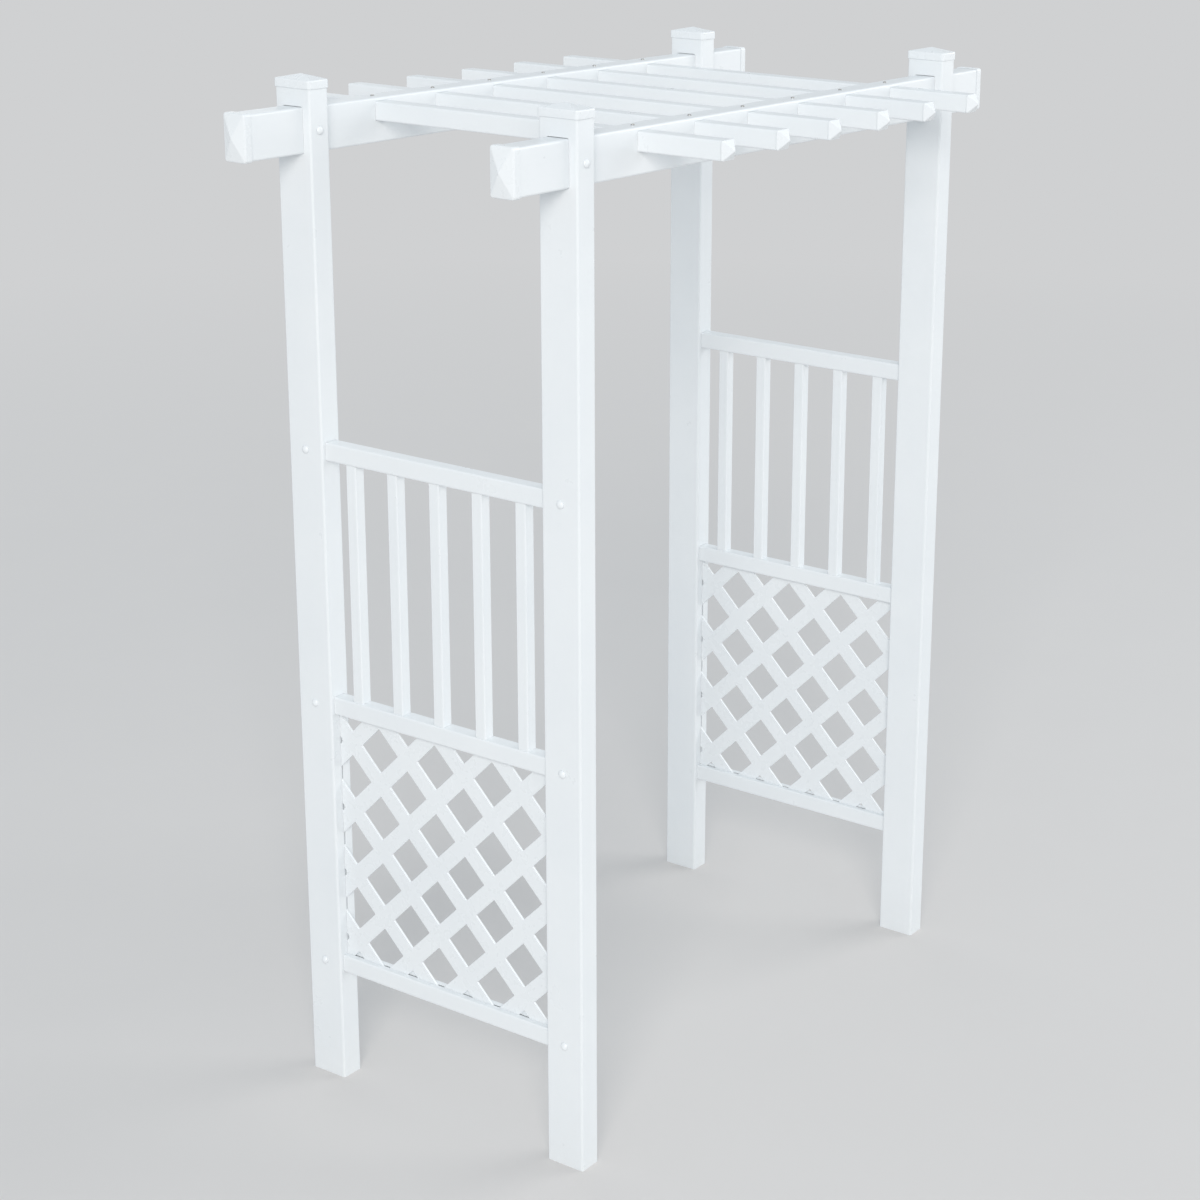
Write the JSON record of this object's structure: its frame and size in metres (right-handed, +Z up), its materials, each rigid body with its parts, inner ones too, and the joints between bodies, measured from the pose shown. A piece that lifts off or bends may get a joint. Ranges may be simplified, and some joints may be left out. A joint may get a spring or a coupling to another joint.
{
  "type": "vinyl garden arbor",
  "caption": "White vinyl garden arbor with lattice and baluster side panels, cross beams on the posts and rafters over the path.",
  "frame": {"origin": "on the ground in the middle of the path, at the bottom centre of the bounding box", "axes": "+X runs along the beams from the left to the right side panel, +Y runs along the path from front to back, +Z is up"},
  "size_m": [1.675, 1.1082, 2.1332],
  "materials": {
    "white_vinyl": "extruded and moulded white PVC, satin to glossy",
    "zinc_steel": "bright zinc-plated steel"
  },
  "bodies": {
    "root": {"post_front_left": "white_vinyl", "post_front_right": "white_vinyl", "post_back_left": "white_vinyl", "post_back_right": "white_vinyl", "post_cap_front_left": "white_vinyl", "post_cap_front_right": "white_vinyl", "post_cap_back_left": "white_vinyl", "post_cap_back_right": "white_vinyl", "beam_front": "white_vinyl", "beam_back": "white_vinyl", "beam_cap_front_left": "white_vinyl", "beam_cap_front_right": "white_vinyl", "beam_cap_back_left": "white_vinyl", "beam_cap_back_right": "white_vinyl", "rafter_1": "white_vinyl", "rafter_2": "white_vinyl", "rafter_3": "white_vinyl", "rafter_4": "white_vinyl", "rafter_5": "white_vinyl", "rafter_6": "white_vinyl", "rafter_cap_front_1": "white_vinyl", "rafter_cap_front_2": "white_vinyl", "rafter_cap_front_3": "white_vinyl", "rafter_cap_front_4": "white_vinyl", "rafter_cap_front_5": "white_vinyl", "rafter_cap_front_6": "white_vinyl", "rafter_cap_back_1": "white_vinyl", "rafter_cap_back_2": "white_vinyl", "rafter_cap_back_3": "white_vinyl", "rafter_cap_back_4": "white_vinyl", "rafter_cap_back_5": "white_vinyl", "rafter_cap_back_6": "white_vinyl", "top_rail_left": "white_vinyl", "middle_rail_left": "white_vinyl", "bottom_rail_left": "white_vinyl", "top_rail_right": "white_vinyl", "middle_rail_right": "white_vinyl", "bottom_rail_right": "white_vinyl", "baluster_left_1": "white_vinyl", "baluster_left_2": "white_vinyl", "baluster_left_3": "white_vinyl", "baluster_left_4": "white_vinyl", "baluster_left_5": "white_vinyl", "baluster_right_1": "white_vinyl", "baluster_right_2": "white_vinyl", "baluster_right_3": "white_vinyl", "baluster_right_4": "white_vinyl", "baluster_right_5": "white_vinyl", "lattice_left": "white_vinyl", "lattice_right": "white_vinyl", "rail_screws": "zinc_steel", "rail_screw_covers": "white_vinyl", "beam_bolts": "zinc_steel", "beam_bolt_nuts": "zinc_steel", "beam_bolt_covers": "white_vinyl", "rafter_screws": "zinc_steel"}
  },
  "joints": []
}
